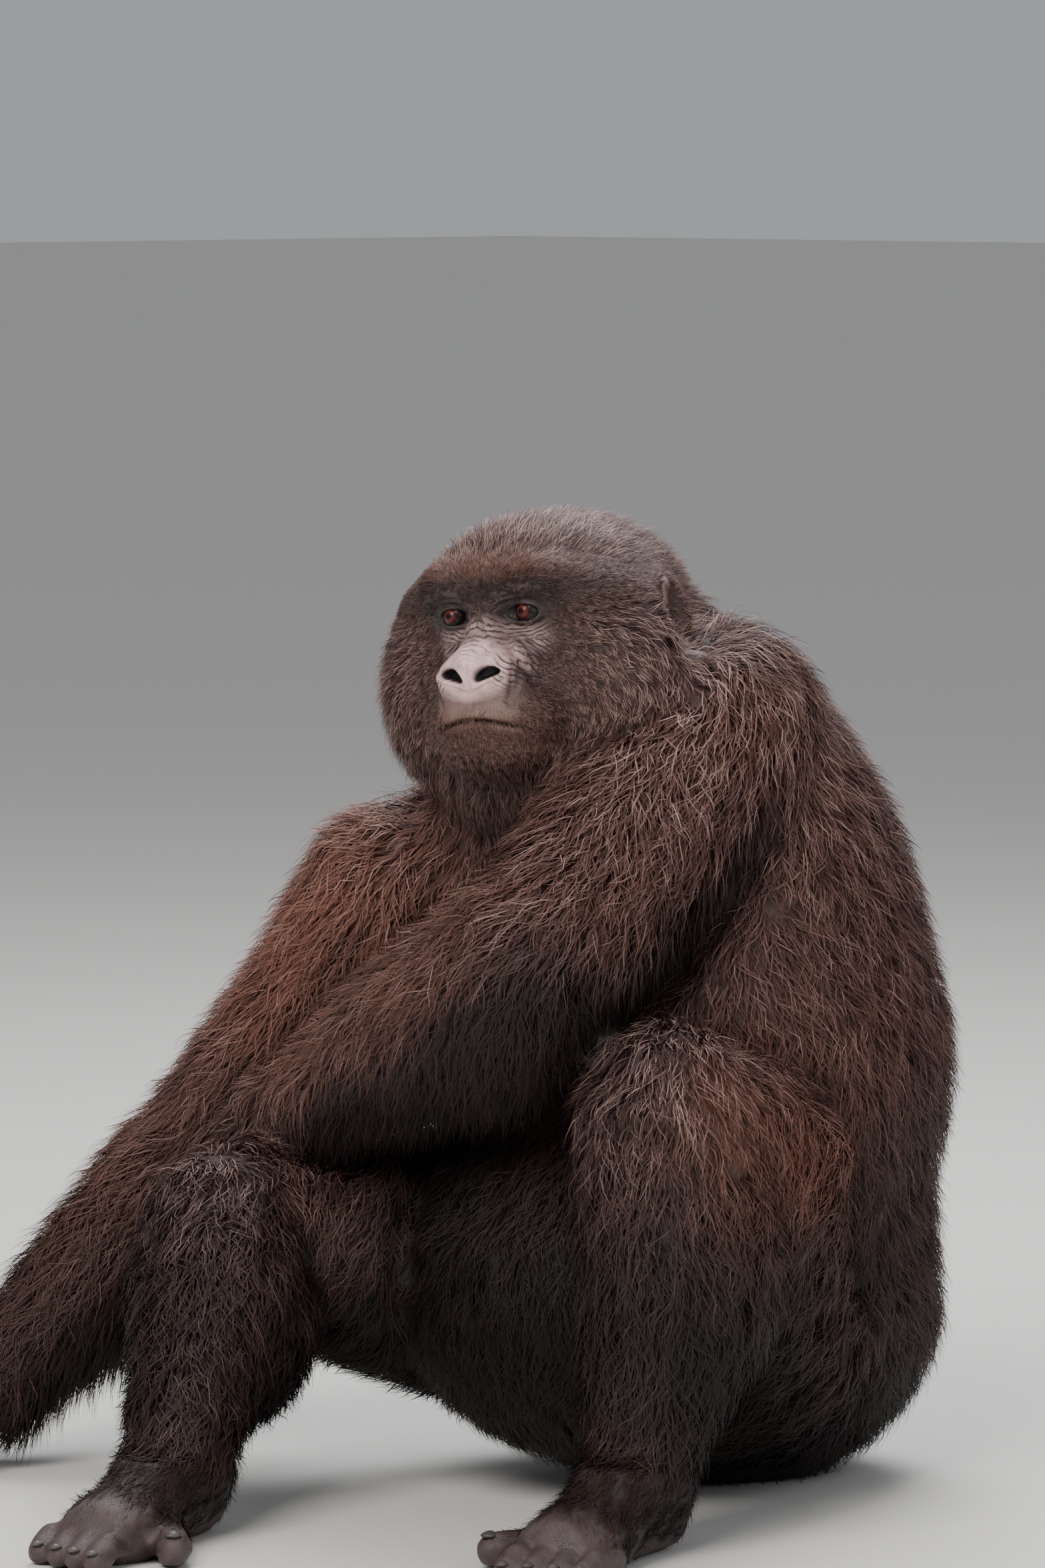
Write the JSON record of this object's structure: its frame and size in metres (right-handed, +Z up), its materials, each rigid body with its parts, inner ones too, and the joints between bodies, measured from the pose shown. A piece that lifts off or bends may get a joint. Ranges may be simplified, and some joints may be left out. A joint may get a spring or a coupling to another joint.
{
  "type": "gorilla",
  "caption": "Still life-size mountain gorilla, seated with knees raised, leaning on its right arm, the left forearm laid across to the right knee.",
  "frame": {"origin": "middle of the underside of the whole model's box, on the floor it sits on", "axes": "+Z up, the animal faces -Y with its own left side towards +X; Y is the longest side of the box"},
  "size_m": [0.8784, 0.9332, 0.863],
  "materials": {
    "coat": "dark brown-black fur with pale tips",
    "skin": "bare wrinkled charcoal skin",
    "eye": "wet and glossy, orange-brown iris",
    "nail": "dark satin nail"
  },
  "bodies": {
    "root": {"head": "coat", "neck": "coat", "chest": "coat", "belly": "coat", "rump": "coat", "upper_arm_left": "coat", "upper_arm_right": "coat", "forearm_left": "coat", "forearm_right": "coat", "thigh_left": "coat", "thigh_right": "coat", "shin_left": "coat", "shin_right": "coat", "ear_left": "skin", "ear_right": "skin", "hand_left": "skin", "hand_right": "skin", "foot_left": "skin", "foot_right": "skin", "eye_left": "eye", "eye_right": "eye", "nail_hand_left_1": "nail", "nail_hand_left_2": "nail", "nail_hand_left_3": "nail", "nail_hand_left_4": "nail", "nail_hand_left_5": "nail", "nail_hand_right_1": "nail", "nail_hand_right_2": "nail", "nail_hand_right_3": "nail", "nail_hand_right_4": "nail", "nail_hand_right_5": "nail", "nail_foot_left_1": "nail", "nail_foot_left_2": "nail", "nail_foot_left_3": "nail", "nail_foot_left_4": "nail", "nail_foot_left_5": "nail", "nail_foot_right_1": "nail", "nail_foot_right_2": "nail", "nail_foot_right_3": "nail", "nail_foot_right_4": "nail", "nail_foot_right_5": "nail"}
  },
  "joints": []
}
